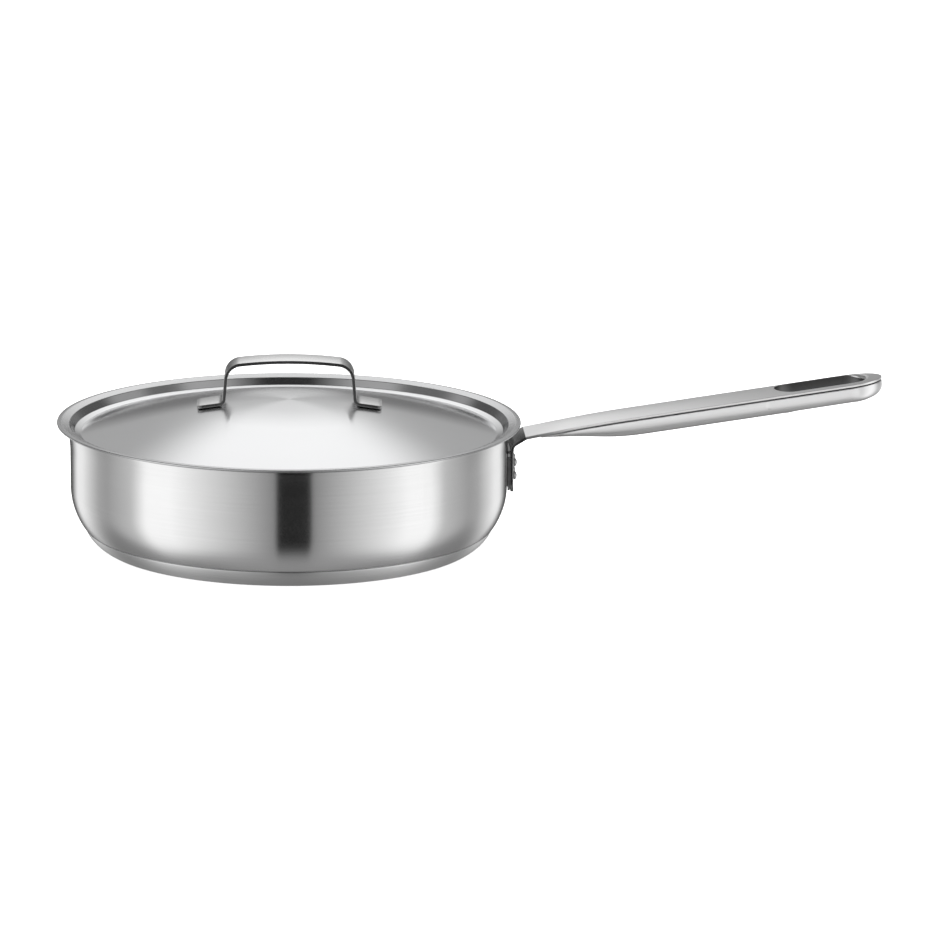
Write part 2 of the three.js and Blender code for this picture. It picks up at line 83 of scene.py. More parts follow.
# ---------------------------------------------------------------- mesh helpers
def make(name, verts_mm, faces, uvs=None, sharp_deg=32, weld=0.0):
    mesh = bpy.data.meshes.new(name)
    mesh.from_pydata([tuple(c * MM for c in v) for v in verts_mm], [], faces)
    if uvs is not None:
        layer = mesh.uv_layers.new(name="UVMap")
        for loop in mesh.loops:
            layer.data[loop.index].uv = uvs[loop.vertex_index]
    bm = bmesh.new()
    bm.from_mesh(mesh)
    if weld:
        bmesh.ops.remove_doubles(bm, verts=bm.verts, dist=weld * MM)
    bmesh.ops.recalc_face_normals(bm, faces=bm.faces)
    limit = math.radians(sharp_deg)
    for e in bm.edges:
        e.smooth = not (len(e.link_faces) == 2 and e.calc_face_angle(0) > limit)
    for f in bm.faces:
        f.smooth = True
    bm.to_mesh(mesh)
    bm.free()
    obj = bpy.data.objects.new(name, mesh)
    bpy.context.scene.collection.objects.link(obj)
    return obj


def lathe(name, profile, segs=320, sharp_deg=32, axis=None):
    """A closed outline of (radius, height) turned round Z, or round the line given by a matrix."""
    pts = [p for i, p in enumerate(profile) if i == 0 or (abs(p[0] - profile[i - 1][0]) + abs(p[1] - profile[i - 1][1])) > 1e-5]
    verts, rows, uvs = [], [], []
    run = 0.0
    for i, (r, z) in enumerate(pts):
        if i:
            run += math.hypot(r - pts[i - 1][0], z - pts[i - 1][1])
        if r < 1e-6:
            rows.append([len(verts)])
            verts.append((0.0, 0.0, z))
            uvs.append((0.0, run))
        else:
            row = []
            for k in range(segs):
                a = 2 * math.pi * k / segs
                row.append(len(verts))
                verts.append((r * math.cos(a), r * math.sin(a), z))
                uvs.append((a * 100, run))
            rows.append(row)
    faces = []
    for i in range(len(rows)):
        a, b = rows[i], rows[(i + 1) % len(rows)]
        if i == len(rows) - 1 and (len(a) == 1 and len(b) == 1):
            continue
        if len(a) == 1 and len(b) == 1:
            continue
        for k in range(segs):
            n = (k + 1) % segs
            if len(a) == 1:
                faces.append((a[0], b[n], b[k]))
            elif len(b) == 1:
                faces.append((a[k], a[n], b[0]))
            else:
                faces.append((a[k], a[n], b[n], b[k]))
    if axis is not None:
        verts = [tuple(axis @ Vector(v)) for v in verts]
    return make(name, verts, faces, None, sharp_deg)


def arc(cx, cz, r, a0, a1, n):
    return [(cx + r * math.cos(math.radians(a0 + (a1 - a0) * i / n)), cz + r * math.sin(math.radians(a0 + (a1 - a0) * i / n))) for i in range(n + 1)]


def rounded(points, radii, n=8):
    """The polyline with each inner corner turned into an arc of that radius."""
    out = [points[0]]
    for i in range(1, len(points) - 1):
        p, r = np.array(points[i], float), radii[i]
        a, b = np.array(points[i - 1], float), np.array(points[i + 1], float)
        if r <= 0:
            out.append(tuple(p))
            continue
        da, db = a - p, b - p
        la, lb = np.linalg.norm(da), np.linalg.norm(db)
        da, db = da / la, db / lb
        half = math.acos(max(-1, min(1, float(da @ db)))) / 2
        t = min(r / math.tan(half), la * 0.49, lb * 0.49)
        rr = t * math.tan(half)
        mid = da + db
        c = p + mid / np.linalg.norm(mid) * (rr / math.sin(half))
        s, e = p + da * t - c, p + db * t - c
        a0, a1 = math.atan2(s[1], s[0]), math.atan2(e[1], e[0])
        d = (a1 - a0 + math.pi) % (2 * math.pi) - math.pi
        for k in range(n + 1):
            q = a0 + d * k / n
            out.append((c[0] + rr * math.cos(q), c[1] + rr * math.sin(q)))
    out.append(points[-1])
    return out


def offset(path, t):
    """The path moved sideways, to its right, by t."""
    out = []
    for i, p in enumerate(path):
        a, b = path[max(0, i - 1)], path[min(len(path) - 1, i + 1)]
        dx, dz = b[0] - a[0], b[1] - a[1]
        l = math.hypot(dx, dz) or 1.0
        out.append((p[0] + dz / l * t, p[1] - dx / l * t))
    return out


def smooth(x, a, b):
    t = min(1.0, max(0.0, (x - a) / (b - a)))
    return t * t * (3 - 2 * t)


# ---------------------------------------------------------------- pan body and base
corner_x = WALL_R - CORNER_R
inner_corner = CORNER_R - SHEET
floor_cz = FLOOR_Z + FLOOR_R
floor_cx = corner_x + math.sqrt((inner_corner - FLOOR_R) ** 2 - (floor_cz - CORNER_Z) ** 2)
join = math.degrees(math.atan2(floor_cz - CORNER_Z, floor_cx - corner_x))
under = FLOOR_R + SHEET
step_deg = math.degrees(math.asin((CAP_TOP_Z + 0.1 - floor_cz) / under))
groove_deg = math.degrees(math.asin((CAP_TOP_Z + SEAM + 0.4 - CORNER_Z) / CORNER_R))


def flare(z):
    return (RIM_OUT_R - WALL_R) * max(0.0, (z - FLARE_Z) / (RIM_Z - FLARE_Z)) ** 1.6


profile = [(0, FLOOR_Z)] + [(floor_cx * i / 12, FLOOR_Z) for i in range(1, 12)]
profile += arc(floor_cx, floor_cz, FLOOR_R, -90, join, 16)
profile += arc(corner_x, CORNER_Z, inner_corner, join, 0, 18)[1:]
profile += [(WALL_R - SHEET, z) for z in (40, 46, 52)]
zs = [FLARE_Z + (RIM_Z - 0.6 - FLARE_Z) * i / 12 for i in range(13)]
profile += [(WALL_R - SHEET + flare(z) + 0.15 * smooth(z, 60, 70), z) for z in zs]
top = profile[-1]
mid_r = (top[0] + WALL_R + flare(zs[-1])) / 2
half_t = (WALL_R + flare(zs[-1]) - top[0]) / 2
profile += [(mid_r + half_t * math.cos(a), zs[-1] + 0.55 * math.sin(a)) for a in [math.pi - math.pi * i / 8 for i in range(1, 8)]]
profile += [(WALL_R + flare(z), z) for z in reversed(zs)]
profile += [(WALL_R, z) for z in (52, 46, 40)]
lip = arc(corner_x, CORNER_Z, CORNER_R, 0, groove_deg, 26)
profile += lip
gx, gz = lip[-1]
profile += [(gx - 0.15, gz - 0.12), (gx - 0.4, gz - 0.18), (gx - 1.4, gz - 0.2)]
profile += arc(floor_cx, floor_cz, under, step_deg, -90, 8)
profile += [(0, FLOOR_Z - SHEET)]
pan_body = lathe("pan_body_look", profile)
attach(pan_body, "pan")
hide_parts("pan_body")

chord = math.hypot(CAP_TOP_R - BASE_R, CAP_TOP_Z)
cap_r = (chord**2 / 4 + CAP_BULGE**2) / (2 * CAP_BULGE)
inward = (-CAP_TOP_Z / chord, (CAP_TOP_R - BASE_R) / chord)
cap_cx = (BASE_R + CAP_TOP_R) / 2 + inward[0] * (cap_r - CAP_BULGE)
cap_cz = CAP_TOP_Z / 2 + inward[1] * (cap_r - CAP_BULGE)
cap_a0 = math.degrees(math.atan2(-cap_cz, BASE_R - cap_cx))
cap_a1 = math.degrees(math.atan2(CAP_TOP_Z - cap_cz, CAP_TOP_R - cap_cx))
profile = [(0, 0)] + [(BASE_R * i / 10, 0) for i in range(1, 10)]
profile += arc(cap_cx, cap_cz, cap_r, cap_a0, cap_a1 - 0.8, 22)
profile += [(CAP_TOP_R - 0.1, CAP_TOP_Z - 0.05), (CAP_TOP_R - 0.3, CAP_TOP_Z)]
profile += arc(cap_cx, cap_cz, cap_r - CAP_T, cap_a1, cap_a0, 12)
profile += [(0, CAP_T)]
base_cap = lathe("base_cap_look", profile)
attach(base_cap, "pan")
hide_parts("base_cap")

# ---------------------------------------------------------------- lid
# a round cap in the middle that runs out into a flatter skirt
cap_z = DOME_Z - DOME_CAP_R + math.sqrt(DOME_CAP_R**2 - DOME_CAP_EDGE**2)
cap_fall = math.tan(math.asin(DOME_CAP_EDGE / DOME_CAP_R))
skirt = DOME_FOOT_R - DOME_CAP_EDGE
skirt_turn = 2 * (cap_z - DOME_FOOT_Z - cap_fall * skirt) / skirt**2


def dome_z(r):
    if r <= DOME_CAP_EDGE:
        return DOME_Z - DOME_CAP_R + math.sqrt(DOME_CAP_R**2 - r**2)
    d = r - DOME_CAP_EDGE
    return cap_z - cap_fall * d - skirt_turn * d * d / 2


dome = [(DOME_FOOT_R * i / 60, dome_z(DOME_FOOT_R * i / 60)) for i in range(61)]
# a groove at its foot, a narrow bright ledge, the steep step up to the flange, and the flange with its edge turned down
rim = [dome[-1], (124.5, 67.0), (128.2, 68.25), (LID_KNEE_R, LID_KNEE_Z), (136.0, 74.1), (LID_EDGE_R - 0.45, LID_EDGE_Z - 0.17)]
lid_top = dome + rounded(rim, [0, 1.2, 1.0, 1.2, 3.5, 0], 10)[1:]
lid_under = offset(lid_top, LID_T)
lid_under[0] = (0.0, DOME_Z - LID_T)
edge_c = (LID_EDGE_R - 0.6, LID_EDGE_Z - 0.75)
profile = lid_top + [(edge_c[0] + 0.6 * math.cos(a), edge_c[1] + 0.62 * math.sin(a)) for a in [math.radians(70 - 160 * i / 10) for i in range(11)]]
profile += list(reversed(lid_under[:-1]))
lid = lathe("lid_look", profile, segs=384)
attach(lid, "lid")
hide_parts("lid_shell")

# ---------------------------------------------------------------- lid strap
crown_cz = STRAP_TOP_Z - STRAP_CROWN_R
lean = math.atan2(STRAP_LEG_FOOT_X - STRAP_LEG_TOP_X, 18)


def leg_x(z):
    return STRAP_LEG_TOP_X + (101 - z) * math.tan(lean)


cz = STRAP_TOP_Z - STRAP_CORNER_R
for _ in range(20):
    cx = leg_x(cz) - STRAP_CORNER_R / math.cos(lean)
    cz = crown_cz + math.sqrt((STRAP_CROWN_R - STRAP_CORNER_R) ** 2 - cx**2)
a0 = math.degrees(math.atan2(cz - crown_cz, cx))
a1 = math.degrees(lean)
fx = 48.0
slope_f = math.asin(fx / DOME_CAP_R)
dome_at = dome_z(fx)


def foot_top(x):
    return dome_at + 0.34 + STRAP_T - (x - fx) * math.tan(slope_f)


bz = 90.0
for _ in range(20):
    bx = leg_x(bz) + STRAP_FOOT_R / math.cos(lean)
    bz = foot_top(bx) + STRAP_FOOT_R / math.cos(slope_f)
half_path = arc(0, crown_cz, STRAP_CROWN_R, 90, a0, 16)
half_path += arc(cx, cz, STRAP_CORNER_R, a0, a1, 22)[1:]
bend = arc(bx, bz, STRAP_FOOT_R, 180 + a1, 270 - math.degrees(slope_f), 12)
for k in range(1, 5):
    half_path.append((half_path[-1][0] + (bend[0][0] - half_path[-1][0]) / (6 - k), half_path[-1][1] + (bend[0][1] - half_path[-1][1]) / (6 - k)))
half_path += bend
for x in np.linspace(bend[-1][0], STRAP_FOOT_X, 14)[1:]:
    half_path.append((float(x), foot_top(float(x))))
path = [(-x, z) for x, z in reversed(half_path[1:])] + half_path
inner = []
for i, p in enumerate(path):
    a, b = path[max(0, i - 1)], path[min(len(path) - 1, i + 1)]
    l = math.hypot(b[0] - a[0], b[1] - a[1])
    inner.append(((b[1] - a[1]) / l, -(b[0] - a[0]) / l))
verts, faces, uvs = [], [], []
run, ring_n = 0.0, 0
er = 0.2
for i, (p, n) in enumerate(zip(path, inner)):
    if i:
        run += math.hypot(p[0] - path[i - 1][0], p[1] - path[i - 1][1])
    end = max(0.0, 2.2 - (STRAP_FOOT_X - abs(p[0])) if abs(p[0]) > STRAP_FOOT_X - 2.2 else 0.0)
    hw = STRAP_W / 2 - (2.2 - math.sqrt(max(0.0, 2.2**2 - end**2)))
    ring = []
    for sy, sd, q0 in ((1, 0, 90), (1, 1, 0), (-1, 1, -90), (-1, 0, 180)):
        for k in range(5):
            q = math.radians(q0 - 90 * k / 4)
            y = sy * (hw - er) + er * math.cos(q)
            d = (er if sd == 0 else STRAP_T - er) - er * math.sin(q)
            ring.append((y, d))
    ring_n = len(ring)
    for y, d in ring:
        verts.append((p[0] + n[0] * d, y, p[1] + n[1] * d))
        uvs.append((run, y + d))


def strap_part(name, runs):
    """The strap between the given stations, closed at both ends of each run."""
    v, f, u = [], [], []
    for first, last in runs:
        base = len(v)
        v += verts[first * ring_n : (last + 1) * ring_n]
        u += uvs[first * ring_n : (last + 1) * ring_n]
        for i in range(last - first):
            for k in range(ring_n):
                m = (k + 1) % ring_n
                f.append((base + i * ring_n + k, base + i * ring_n + m, base + (i + 1) * ring_n + m, base + (i + 1) * ring_n + k))
        f.append(tuple(base + k for k in range(ring_n)))
        f.append(tuple(base + (last - first) * ring_n + k for k in reversed(range(ring_n))))
    obj = make(name, v, f, u, 40)
    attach(obj, "lid")
    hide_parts("lid_handle")
    return obj


middle = len(half_path) - 1
strap = strap_part("lid_strap_feet_look", [(0, middle - 40), (middle + 40, len(path) - 1)])
strap_top = strap_part("lid_strap_top_look", [(middle - 40, middle + 40)])
# only the feet and legs show as reflections in the lid
strap_top.visible_glossy = False

# ---------------------------------------------------------------- long handle
TIP_CX = GRIP_TIP_X - GRIP_END


def edge_z(x):
    return GRIP_Z0 + GRIP_SLOPE * (x - GRIP_X0) - GRIP_SAG * max(0.0, (GRIP_SAG_X - x) / 55) ** 1.6


def lean_at(x):
    return math.atan((edge_z(x + 0.05) - edge_z(x - 0.05)) / 0.1)


def P(x, y, h):
    """A point of the grip: along, across, and square to the plate's edge line."""
    a = lean_at(x)
    return (x - math.sin(a) * h, y, edge_z(x) + math.cos(a) * h)


def side(x):
    return GRIP_ROOT_HALF + (GRIP_HALF - GRIP_ROOT_HALF) * smooth(x, 142, 190)


def rho(x, y, inset=0.0):
    """How far a point is from the handle's middle line, 1 at its edge."""
    if x <= TIP_CX:
        return abs(y) / (side(x) - inset)
    return math.hypot((x - TIP_CX) / (GRIP_END - inset), y / (GRIP_HALF - inset))


def crown(x, y):
    return GRIP_CROWN * smooth(x, 141, 174) * max(0.0, 1 - rho(x, y) ** 2)


def plate_t(x):
    return GRIP_TAB_T + (GRIP_T - GRIP_TAB_T) * smooth(x, 150, 175)


DEPTH = np.array([(140, 1.0), (150, 2.6), (152, 3.0), (162.5, 4.9), (171.5, 6.7), (180.5, 8.6), (189.6, 10.6), (198.6, 11.8), (208, 12.2), (290, 12.3), (335.3, 12.1), (400, 12.1)])


def depth(x):
    # the mean over a short run rounds the table's corners
    return float(np.mean(np.interp(np.linspace(x - 6, x + 6, 9), DEPTH[:, 0], DEPTH[:, 1])))


def power(x):
    return 4.5 - 1.2 * smooth(x, 336, 354)


WB_IN = 0.15


def grip_seam(x):
    return SEAM + 0.28 * smooth(x, 156, 190)


def belly_h(x, y):
    t = plate_t(x) + grip_seam(x) + 0.45
    n = power(x)
    f = max(0.0, 1 - min(1.0, rho(x, y, WB_IN)) ** n) ** (1 / n)
    return -t - max(0.02, depth(x) - t) * f


def outline(kind, c, d, y, inset=0.0):
    """The point of the grip's outline that a ray from c along d meets, and the outline's outward direction there."""
    if kind == "line":
        return (SPLIT_X, y), (0.0, 0.0)
    if kind == "side":
        w = GRIP_HALF - inset
        return (max(SPLIT_X, c[0] + d[0] * w / abs(d[1])), math.copysign(w, d[1])), (0.0, math.copysign(1.0, d[1]))
    lo_s, hi_s = 0.0, 60.0
    for _ in range(50):
        mid_s = (lo_s + hi_s) / 2
        if rho(c[0] + d[0] * mid_s, c[1] + d[1] * mid_s, inset) < 1:
            lo_s = mid_s
        else:
            hi_s = mid_s
    p = (c[0] + d[0] * lo_s, c[1] + d[1] * lo_s)
    if p[0] <= TIP_CX:
        return p, (0.0, math.copysign(1.0, p[1]))
    gx, gy = (p[0] - TIP_CX) / GRIP_END**2, p[1] / GRIP_HALF**2
    g = math.hypot(gx, gy)
    return p, (gx / g, gy / g)


SPLIT_X = 285.0
RE, RB = 0.18, 0.4
TOPN = 44
tops = np.linspace(-1, 1, TOPN + 1)

bend_cx = TAB_FACE_R + BEND_R
root_lean = lean_at(bend_cx)
bend_cz = edge_z(bend_cx) - BEND_R / math.cos(root_lean)
stations = []
for i in range(19):
    a = math.pi / 2 * i / 18
    stations.append((TAB_FACE_R, TAB_Z + TAB_ROUND * (1 - math.cos(a)), -1.0, 0.0, TAB_HALF - TAB_ROUND + TAB_ROUND * math.sin(a), 1.0, GRIP_TAB_T))
FOLD_X, FOLD_DEG = 141.0, 33.0
fold_z = edge_z(FOLD_X)
heel_z = fold_z - (FOLD_X - TAB_FACE_R) * math.tan(math.radians(FOLD_DEG))
heel_low = heel_z - 8.0 * math.tan(math.radians(45 - FOLD_DEG / 2)) - 0.3
first_grip = FOLD_X + 0.9
for z in np.linspace(TAB_Z + TAB_ROUND, heel_low, 12)[1:-1]:
    stations.append((TAB_FACE_R, float(z), -1.0, 0.0, TAB_HALF, 1.0, GRIP_TAB_T))
turn_path = rounded([(TAB_FACE_R, heel_low), (TAB_FACE_R, heel_z), (FOLD_X, fold_z), (first_grip, edge_z(first_grip))], [0, 8.0, 0.9, 0], 14)
for i, (x, z) in enumerate(turn_path):
    before, after = turn_path[max(0, i - 1)], turn_path[min(len(turn_path) - 1, i + 1)]
    l = math.hypot(after[0] - before[0], after[1] - before[1])
    f = min(1.0, max(0.0, (z - heel_low) / (fold_z - heel_low)))
    stations.append((x, z, -(after[1] - before[1]) / l, (after[0] - before[0]) / l, TAB_HALF + (GRIP_ROOT_HALF - TAB_HALF) * smooth(f, 0, 1), (1 - f) ** 2 if x < FOLD_X else 0.0, GRIP_TAB_T))
for x in np.linspace(first_grip, SPLIT_X, 100)[1:]:
    x = float(x)
    a = lean_at(x)
    stations.append((x, edge_z(x), -math.sin(a), math.cos(a), side(x), 0.0, plate_t(x)))
verts, faces, uvs = [], [], []


def plate_ring(w, t):
    ring = [(float(q) * (w - RE), 0.0) for q in tops]
    ring += [(w - RE + RE * math.sin(q), RE - RE * math.cos(q)) for q in [math.radians(90 * k / 6) for k in range(1, 7)]]
    ring += [(w - RB + RB * math.cos(q), t - RB + RB * math.sin(q)) for q in [math.radians(90 * k / 4) for k in range(5)]]
    ring += [((w - RB) * (1 - 2 * k / 12), t) for k in range(1, 12)]
    ring += [(-(w - RB) - RB * math.sin(q), t - RB + RB * math.cos(q)) for q in [math.radians(90 * k / 4) for k in range(5)]]
    ring += [(-(w - RE) - RE * math.cos(q), RE - RE * math.sin(q)) for q in [math.radians(90 * k / 6) for k in range(6)]]
    return ring


run = 0.0
for i, (x, z, nx, nz, w, k, t) in enumerate(stations):
    if i:
        run += math.hypot(x - stations[i - 1][0], z - stations[i - 1][1])
    ring = plate_ring(w, t)
    for y, d in ring:
        c = crown(x, y) if nx > -0.5 and k == 0 else 0.0
        follow = k * (TAB_FACE_R - math.sqrt(TAB_FACE_R**2 - y * y))
        verts.append((x - follow - nx * (d - c), y, z - nz * (d - c)))
        uvs.append((run, y + d))
n = len(plate_ring(10, 2))
for i in range(len(stations) - 1):
    for k in range(n):
        m = (k + 1) % n
        faces.append((i * n + k, i * n + m, (i + 1) * n + m, (i + 1) * n + k))
faces.append(tuple(range(n)))
run_end = run - SPLIT_X


def rays(columns, width):
    """Samples round the slot: where each starts, its direction, and for the cut line where it ends."""
    out = []
    for i in range(73):
        a = math.radians(-90 + 180 * i / 72)
        out.append(("rim", (SLOT_X1, 0.0), (math.cos(a), math.sin(a)), None))
    for i in range(1, 19):
        out.append(("rim", (SLOT_X1 + (SLOT_X0 - SLOT_X1) * i / 18, 0.0), (0.0, 1.0), None))
    reach = SLOT_X0 - SPLIT_X
    turn = math.atan2(width, -reach)
    for i in range(1, 17):
        a = math.pi / 2 + (turn - math.pi / 2) * i / 16
        out.append(("side", (SLOT_X0, 0.0), (math.cos(a), math.sin(a)), None))
    for y in columns:
        a = math.atan2(y, -reach)
        out.append(("line", (SLOT_X0, 0.0), (math.cos(a), math.sin(a)), y))
    for i in range(16):
        a = -turn + (-math.pi / 2 + turn) * i / 16
        out.append(("side", (SLOT_X0, 0.0), (math.cos(a), math.sin(a)), None))
    for i in range(0, 18):
        out.append(("rim", (SLOT_X0 + (SLOT_X1 - SLOT_X0) * i / 18, 0.0), (0.0, -1.0), None))
    return out


# the round end with its slot
loop = rays([float(q) * (GRIP_HALF - RE) for q in reversed(tops[1:-1])], GRIP_HALF)
base = len(verts)
rows = []
for kind, c, d, y in loop:
    row = []
    inner_p = (c[0] + d[0] * SLOT_HALF, c[1] + d[1] * SLOT_HALF)
    outer_c = (c[0] + d[0] * (SLOT_HALF + COLLAR_T), c[1] + d[1] * (SLOT_HALF + COLLAR_T))
    # the slot's lip is a small round along the sides and a wide one at the tip
    lip_r = 0.22 + 3.0 * smooth(d[0], 0.1, 0.95)
    low = belly_h(*outer_c)
    row.append((outer_c[0], outer_c[1], low + 1.2))
    row.append((outer_c[0], outer_c[1], low - 0.1))
    row.append((inner_p[0] + d[0] * 0.3, inner_p[1] + d[1] * 0.3, low - 0.3))
    row.append((inner_p[0], inner_p[1], low))
    wall_top = crown(*inner_p) - lip_r
    for k in range(1, 8):
        row.append((inner_p[0], inner_p[1], low + (wall_top - low) * k / 8))
    for k in range(9):
        q = math.radians(90 * k / 8)
        px = inner_p[0] + d[0] * lip_r * (1 - math.cos(q))
        py = inner_p[1] + d[1] * lip_r * (1 - math.cos(q))
        row.append((px, py, crown(px, py) - lip_r * (1 - math.sin(q))))
    start = row[-1]
    o, on = outline(kind, c, d, y)
    out = (o[0] - on[0] * RE, o[1] - on[1] * RE)
    for k in range(1, 11):
        px = start[0] + (out[0] - start[0]) * k / 10
        py = start[1] + (out[1] - start[1]) * k / 10
        row.append((px, py, crown(px, py)))
    rows.append(row)
m_row = len(rows[0])
for row in rows:
    for px, py, h in row:
        verts.append(P(px, py, h))
        uvs.append((px + run_end, py - h))
for i in range(len(rows)):
    j = (i + 1) % len(rows)
    for k in range(m_row - 1):
        faces.append((base + i * m_row + k, base + j * m_row + k, base + j * m_row + k + 1, base + i * m_row + k + 1))
# the outer edge of the round end
near_side = [s for s in loop if s[0] == "side" and s[2][1] < 0]
far_side = [s for s in loop if s[0] == "side" and s[2][1] > 0]
chain = near_side + loop[-18:] + loop[:91] + far_side
base = len(verts)
rows = []
for kind, c, d, y in chain:
    row = []
    o, (nx, ny) = outline(kind, c, d, y)
    o = (o[0] - nx * RE, o[1] - ny * RE)
    for k in range(7):
        q = math.radians(90 * k / 6)
        e = RE * math.sin(q)
        px, py = o[0] + nx * e, o[1] + ny * e
        row.append((px, py, crown(px, py) - RE * (1 - math.cos(q))))
    for k in range(5):
        q = math.radians(90 * k / 4)
        e = RE - RB + RB * math.cos(q)
        px, py = o[0] + nx * e, o[1] + ny * e
        row.append((px, py, crown(px, py) - GRIP_T + RB - RB * math.sin(q)))
    px, py = o[0] - nx * 1.6, o[1] - ny * 1.6
    row.append((px, py, -GRIP_T + crown(px, py)))
    rows.append(row)
m_row = len(rows[0])
for row in rows:
    for px, py, h in row:
        verts.append(P(px, py, h))
        uvs.append((px + run_end, py - h))
for i in range(len(rows) - 1):
    for k in range(m_row - 1):
        faces.append((base + i * m_row + k, base + (i + 1) * m_row + k, base + (i + 1) * m_row + k + 1, base + i * m_row + k + 1))
plate = make("handle_top_look", verts, faces, uvs, 40, weld=0.004)
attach(plate, "pan")
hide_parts("handle_top")

# underside
verts, faces, uvs = [], [], []
BN = 64
ys = []
for j in range(BN + 1):
    c = math.cos(math.pi * (1 - j / BN))
    ys.append(math.copysign(abs(c) ** (2 / 3.4), c))
LIP = [(0.9, 0.0), (0.45, 0.0), (0.2, -0.07), (0.06, -0.22)]
xs = [150.0 + 135.0 * (i / 110) ** 1.15 for i in range(111)]
for x in xs:
    # the front end is drawn in a little, so that it grows out from under the plate
    nose = 1 - 0.08 * (1 - smooth(x, 148, 164))
    w = side(x) - WB_IN
    t = plate_t(x) + grip_seam(x)
    row = [(-(w - i_), -t + h_) for i_, h_ in LIP] + [(q * w, belly_h(x, q * w)) for q in ys] + [(w - i_, -t + h_) for i_, h_ in reversed(LIP)]
    for y, h in row:
        verts.append(P(x, y * nose, h))
        uvs.append((x, y - h))
n = BN + 1 + 2 * len(LIP)
for i in range(len(xs) - 1):
    for k in range(n - 1):
        faces.append((i * n + k, i * n + k + 1, (i + 1) * n + k + 1, (i + 1) * n + k))
faces.append(tuple(range(n)))
INNER = SLOT_HALF + COLLAR_T + 0.25
WB = GRIP_HALF - WB_IN
rows = []
RAD = 30
for kind, c, d, y in rays([q * WB for q in reversed(ys[1:-1])], WB):
    row = []
    a = (c[0] + d[0] * INNER, c[1] + d[1] * INNER)
    o, (nx, ny) = outline(kind, c, d, y, WB_IN)
    row.append((a[0], a[1], belly_h(*a) + 1.2))
    ra = rho(*a, WB_IN)
    re = rho(*o, WB_IN) if kind == "line" else 1.0
    even = smooth(re, 0.8, 0.95) if kind == "line" else 1.0
    pw = power(a[0])
    top_h = max(0.0, 1 - ra**pw) ** (1 / pw)
    end_h = max(0.0, 1 - min(1.0, re) ** pw) ** (1 / pw)
    for k in range(RAD + 1):
        f = k / RAD
        s = f
        if even > 0:
            # even steps down the upright side
            r = (1 - (top_h + (end_h - top_h) * f) ** pw) ** (1 / pw)
            s += (min(1.0, max(0.0, (r - ra) / (re - ra))) - f) * even
        px, py = a[0] + (o[0] - a[0]) * s, a[1] + (o[1] - a[1]) * s
        row.append((px, py, belly_h(px, py)))
    if kind != "line":
        for i_, h_ in reversed(LIP):
            row.append((o[0] - nx * i_, o[1] - ny * i_, -GRIP_T - grip_seam(o[0]) + h_))
    rows.append(row)
starts = []
for row in rows:
    starts.append(len(verts))
    for px, py, h in row:
        verts.append(P(px, py, h))
        uvs.append((px, py - h))
for i in range(len(rows)):
    j = (i + 1) % len(rows)
    for k in range(min(len(rows[i]), len(rows[j])) - 1):
        faces.append((starts[i] + k, starts[j] + k, starts[j] + k + 1, starts[i] + k + 1))
belly = make("handle_underside_look", verts, faces, uvs, 40, weld=0.004)
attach(belly, "pan")
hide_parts("handle_underside")

# ---------------------------------------------------------------- rivets
wall_in, tab_out = WALL_R - SHEET, TAB_FACE_R + GRIP_TAB_T
for i, z in enumerate(RIVET_Z):
    for j, y in enumerate((-RIVET_Y, RIVET_Y)):
        node = f"rivet_{('lower', 'upper')[i]}_{('near', 'far')[j]}"
        prof = [(0, wall_in - 0.1 - 1.3)]
        prof += [(3.1 * math.sin(a), wall_in - 0.35 - 1.05 * math.cos(a)) for a in [math.pi / 2 * k / 10 for k in range(1, 11)]]
        prof += [(3.0, wall_in - 0.05), (1.5, wall_in - 0.05), (1.5, tab_out + 0.05), (2.5, tab_out + 0.05)]
        prof += [(2.6 * math.cos(a), tab_out + 0.35 + 1.65 * math.sin(a)) for a in [math.pi / 2 * k / 10 for k in range(10)]]
        prof += [(0, tab_out + 2.0)]
        turn_m = Matrix.Translation((0, 0, z)) @ Matrix.Rotation(math.asin(y / WALL_R), 4, "Z") @ Matrix.Rotation(math.pi / 2, 4, "Y")
        rivet = lathe(node + "_look", prof, 40, 40, axis=turn_m)
        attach(rivet, "pan")
        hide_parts(node)

# ---------------------------------------------------------------- materials


class Nodes:
    def __init__(self, name):
        self.mat = bpy.data.materials.new(name)
        self.mat.use_nodes = True
        self.tree = self.mat.node_tree
        self.tree.nodes.clear()
        self.out = self.tree.nodes.new("ShaderNodeOutputMaterial")
        self.bsdf = self.tree.nodes.new("ShaderNodeBsdfPrincipled")
        self.tree.links.new(self.bsdf.outputs[0], self.out.inputs[0])

    def new(self, kind, **settings):
        node = self.tree.nodes.new(kind)
        for key, value in settings.items():
            setattr(node, key, value)
        return node

    def link(self, a, b):
        self.tree.links.new(a, b)

    def math(self, op, a, b=None):
        node = self.new("ShaderNodeMath", operation=op)
        for i, v in enumerate((a, b)):
            if v is None:
                continue
            if isinstance(v, (int, float)):
                node.inputs[i].default_value = v
            else:
                self.link(v, node.inputs[i])
        return node.outputs[0]

    def ramp(self, value, stops):
        node = self.new("ShaderNodeMapRange")
        node.inputs["From Min"].default_value = stops[0]
        node.inputs["From Max"].default_value = stops[1]
        node.inputs["To Min"].default_value = stops[2]
        node.inputs["To Max"].default_value = stops[3]
        self.link(value, node.inputs["Value"])
        return node.outputs[0]


